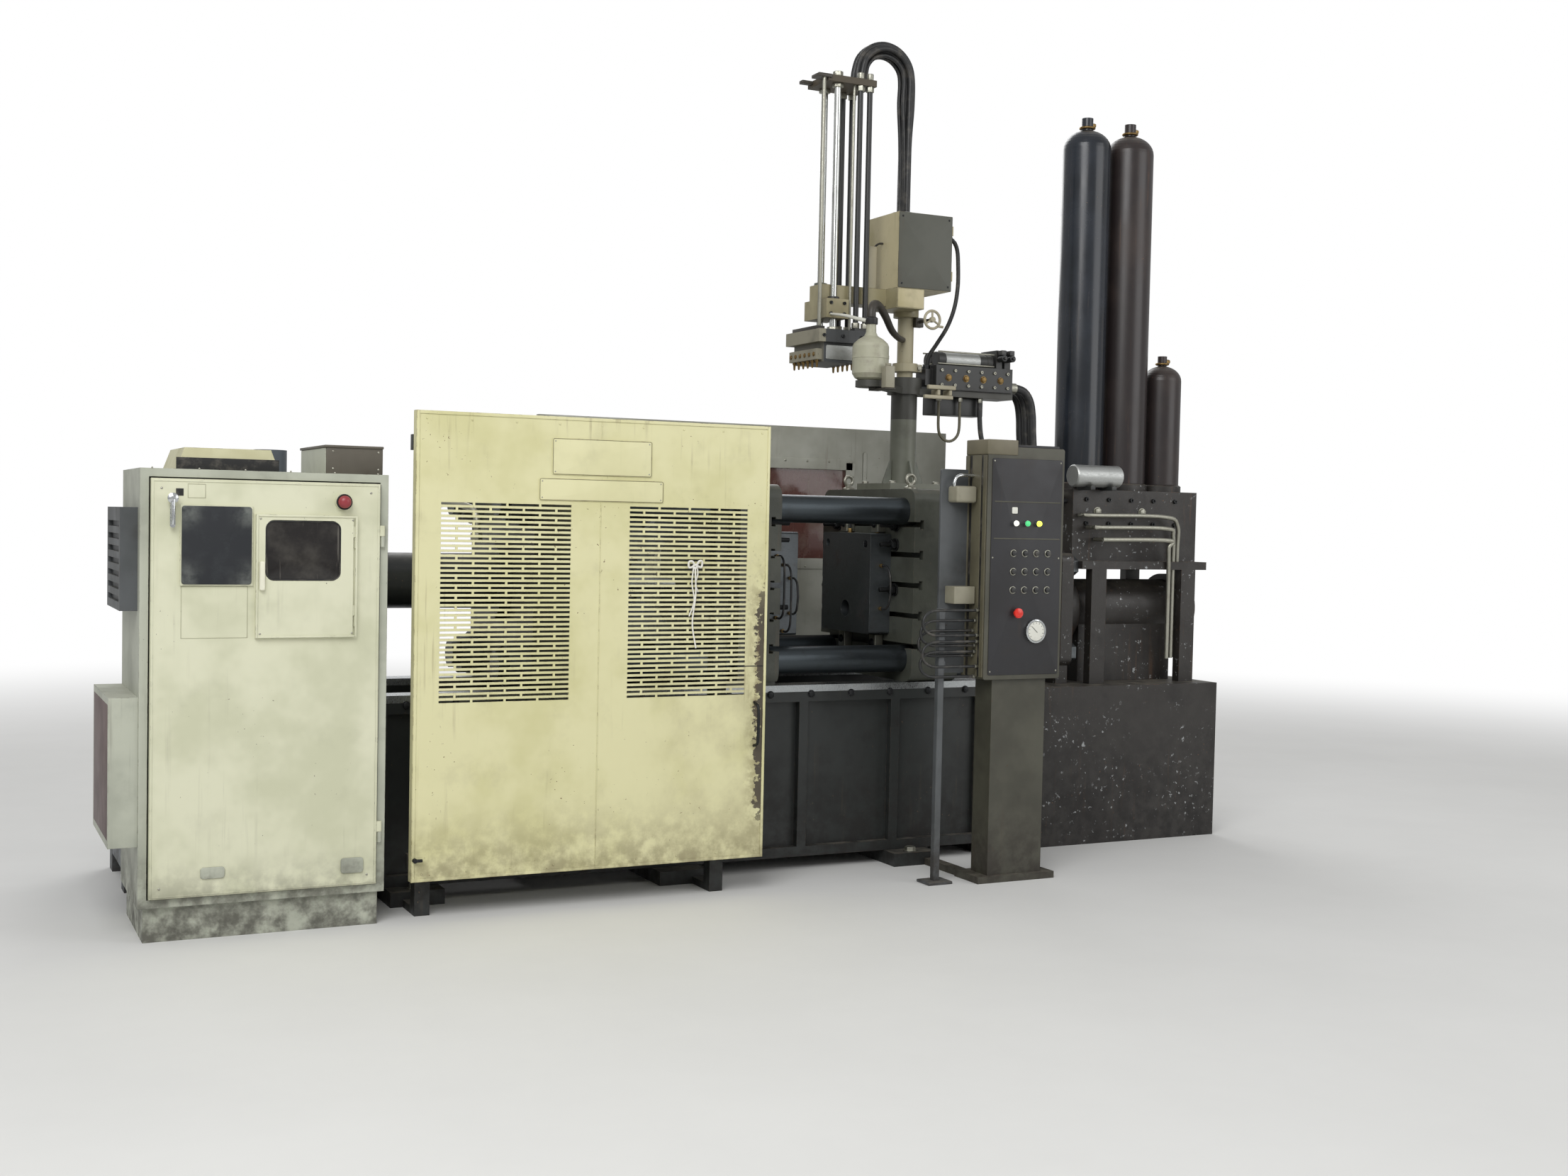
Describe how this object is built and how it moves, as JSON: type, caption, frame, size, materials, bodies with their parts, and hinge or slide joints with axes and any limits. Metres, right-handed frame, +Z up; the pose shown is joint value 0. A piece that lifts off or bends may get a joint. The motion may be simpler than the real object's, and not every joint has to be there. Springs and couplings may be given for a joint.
{
  "type": "die casting machine",
  "caption": "Cold-chamber die casting machine with a toggle clamp, sliding safety door, control cabinet, spray unit and tall pressure bottles.",
  "frame": {"origin": "on the floor, under the middle foot plate's face below the fixed platen's die face and on the machine's middle plane", "axes": "+X along the machine from the clamp to the injection end, +Y away from the operator, +Z up"},
  "size_m": [5.35, 1.788, 3.8465],
  "materials": {
    "dark_enamel": "dark machine enamel, oily and worn",
    "platen_paint": "dark green-grey machine enamel on castings",
    "ground_steel": "ground and hard chromed bars",
    "link_steel": "cast links, oiled",
    "die_steel": "heat-stained die steel",
    "guard_paint": "cream-yellow enamel on sheet steel, chipped at the edges",
    "rear_guard_paint": "pale grey enamel on sheet steel",
    "window": "reddish tinted safety glass",
    "cabinet_frame": "grey enamel, dusty",
    "cabinet_door_paint": "pale cream-olive enamel",
    "hood_paint": "cream enamel",
    "brown_paint": "brown enamel",
    "grey_box": "dark grey enamel",
    "chrome": "chromed handle",
    "tank_paint": "blue-grey enamel",
    "motor_paint": "cream enamel on a finned casting",
    "injection_paint": "dark enamel under oil and aluminium splashes",
    "bottle_blue": "blue-black gloss enamel",
    "bottle_brown": "brown-black enamel",
    "spray_grey": "grey-green enamel",
    "spray_box_paint": "tan enamel, dusty",
    "lube_plastic": "translucent white plastic",
    "hose_rubber": "black hose",
    "panel_paint": "olive-grey enamel",
    "lamp_plastic": "coloured lamp caps"
  },
  "bodies": {
    "root": {"bed_beam_front": "dark_enamel", "bed_beam_rear": "dark_enamel", "bed_feet": "dark_enamel", "bed_cross_members": "dark_enamel", "slide_ways": "ground_steel", "casting_chute": "dark_enamel", "end_platen": "platen_paint", "fixed_platen": "platen_paint", "tie_bars": "ground_steel", "tie_bar_nuts": "link_steel", "clamp_cylinder": "dark_enamel", "crosshead_guides": "ground_steel", "fixed_die": "die_steel", "door_rails": "dark_enamel", "rear_guard": "rear_guard_paint", "rear_guard_window": "window", "control_cabinet": "cabinet_frame", "cabinet_hood": "hood_paint", "distribution_box": "brown_paint", "louvre_box": "grey_box", "oil_tank": "tank_paint", "pump_motor": "motor_paint", "valve_tower": "tank_paint", "injection_base": "injection_paint", "injection_frame": "injection_paint", "shot_sleeve": "die_steel", "shot_cylinder": "injection_paint", "accumulator_manifold": "injection_paint", "accumulator_left": "bottle_blue", "accumulator_right": "bottle_brown", "accumulator_short": "bottle_brown", "spray_post": "spray_grey", "spray_valve_box": "spray_box_paint", "spray_guide": "spray_grey", "lubricant_bottle": "lube_plastic", "spray_valve_stack": "grey_box", "hose_arch": "hose_rubber", "supply_hoses": "hose_rubber", "operator_panel": "panel_paint", "panel_lamps": "lamp_plastic", "panel_stand": "panel_paint"},
    "moving_platen": {"moving_platen": "platen_paint", "moving_die": "die_steel"},
    "crosshead": {"crosshead": "link_steel"},
    "rear_link_upper": {"rear_link_upper": "link_steel"},
    "rear_link_lower": {"rear_link_lower": "link_steel"},
    "front_link_upper": {"front_link_upper": "link_steel"},
    "front_link_lower": {"front_link_lower": "link_steel"},
    "short_link_upper": {"short_link_upper": "link_steel"},
    "short_link_lower": {"short_link_lower": "link_steel"},
    "safety_door": {"safety_door": "guard_paint", "door_runners": "dark_enamel"},
    "cabinet_door": {"cabinet_door": "cabinet_door_paint"},
    "window_flap": {"window_flap": "cabinet_door_paint"},
    "cabinet_latch": {"cabinet_latch": "chrome"},
    "plunger": {"plunger_rod": "ground_steel"},
    "spray_carriage": {"spray_carriage": "spray_grey"}
  },
  "joints": [
    {"name": "die_close", "type": "slide", "parent": "root", "child": "moving_platen", "axis": [1, 0, 0], "range_m": [0, 0.375]},
    {"name": "crosshead_slide", "type": "slide", "parent": "root", "child": "crosshead", "axis": [1, 0, 0], "range_m": [0, 0.2572]},
    {"name": "rear_link_upper_turn", "type": "hinge", "parent": "root", "child": "rear_link_upper", "pos_m": [-1.29436, 0, 1.655], "axis": [0, -1, 0], "range_deg": [0, 82.19]},
    {"name": "front_link_upper_turn", "type": "hinge", "parent": "moving_platen", "child": "front_link_upper", "pos_m": [-0.97, 0, 1.625], "axis": [0, 1, 0], "range_deg": [0, 44.66]},
    {"name": "short_link_upper_turn", "type": "hinge", "parent": "crosshead", "child": "short_link_upper", "pos_m": [-1.47069, 0, 1.465], "axis": [0, -1, 0], "range_deg": [0, 49.61]},
    {"name": "rear_link_lower_turn", "type": "hinge", "parent": "root", "child": "rear_link_lower", "pos_m": [-1.29436, 0, 0.895], "axis": [0, 1, 0], "range_deg": [0, 82.19]},
    {"name": "front_link_lower_turn", "type": "hinge", "parent": "moving_platen", "child": "front_link_lower", "pos_m": [-0.97, 0, 0.925], "axis": [0, -1, 0], "range_deg": [0, 44.66]},
    {"name": "short_link_lower_turn", "type": "hinge", "parent": "crosshead", "child": "short_link_lower", "pos_m": [-1.47069, 0, 1.085], "axis": [0, 1, 0], "range_deg": [0, 49.61]},
    {"name": "safety_door_slide", "type": "slide", "parent": "root", "child": "safety_door", "axis": [1, 0, 0], "range_m": [0, 0.9]},
    {"name": "cabinet_door_hinge", "type": "hinge", "parent": "root", "child": "cabinet_door", "pos_m": [-2.523, -0.7893, 0.9], "axis": [0, 0, 1], "range_deg": [0, 95]},
    {"name": "window_flap_hinge", "type": "hinge", "parent": "cabinet_door", "child": "window_flap", "pos_m": [-2.627, -0.8063, 1.3], "axis": [0, 0, 1], "range_deg": [0, 85]},
    {"name": "cabinet_latch_turn", "type": "hinge", "parent": "cabinet_door", "child": "cabinet_latch", "pos_m": [-3.275, -0.815, 1.595], "axis": [0, 1, 0], "range_deg": [0, 90]},
    {"name": "plunger_shot", "type": "slide", "parent": "root", "child": "plunger", "axis": [-1, 0, 0], "range_m": [0, 0.42]},
    {"name": "spray_lift", "type": "slide", "parent": "root", "child": "spray_carriage", "axis": [0, 0, 1], "range_m": [-0.88, 0]}
  ],
  "couplings": [
    {"joint": "crosshead_slide", "follows": "die_close", "ratio": 0.6856},
    {"joint": "rear_link_upper_turn", "follows": "die_close", "rad_per_m": 3.8249},
    {"joint": "front_link_upper_turn", "follows": "die_close", "rad_per_m": 2.0784},
    {"joint": "short_link_upper_turn", "follows": "die_close", "rad_per_m": 2.3087},
    {"joint": "rear_link_lower_turn", "follows": "die_close", "rad_per_m": 3.8249},
    {"joint": "front_link_lower_turn", "follows": "die_close", "rad_per_m": 2.0784},
    {"joint": "short_link_lower_turn", "follows": "die_close", "rad_per_m": 2.3087}
  ]
}
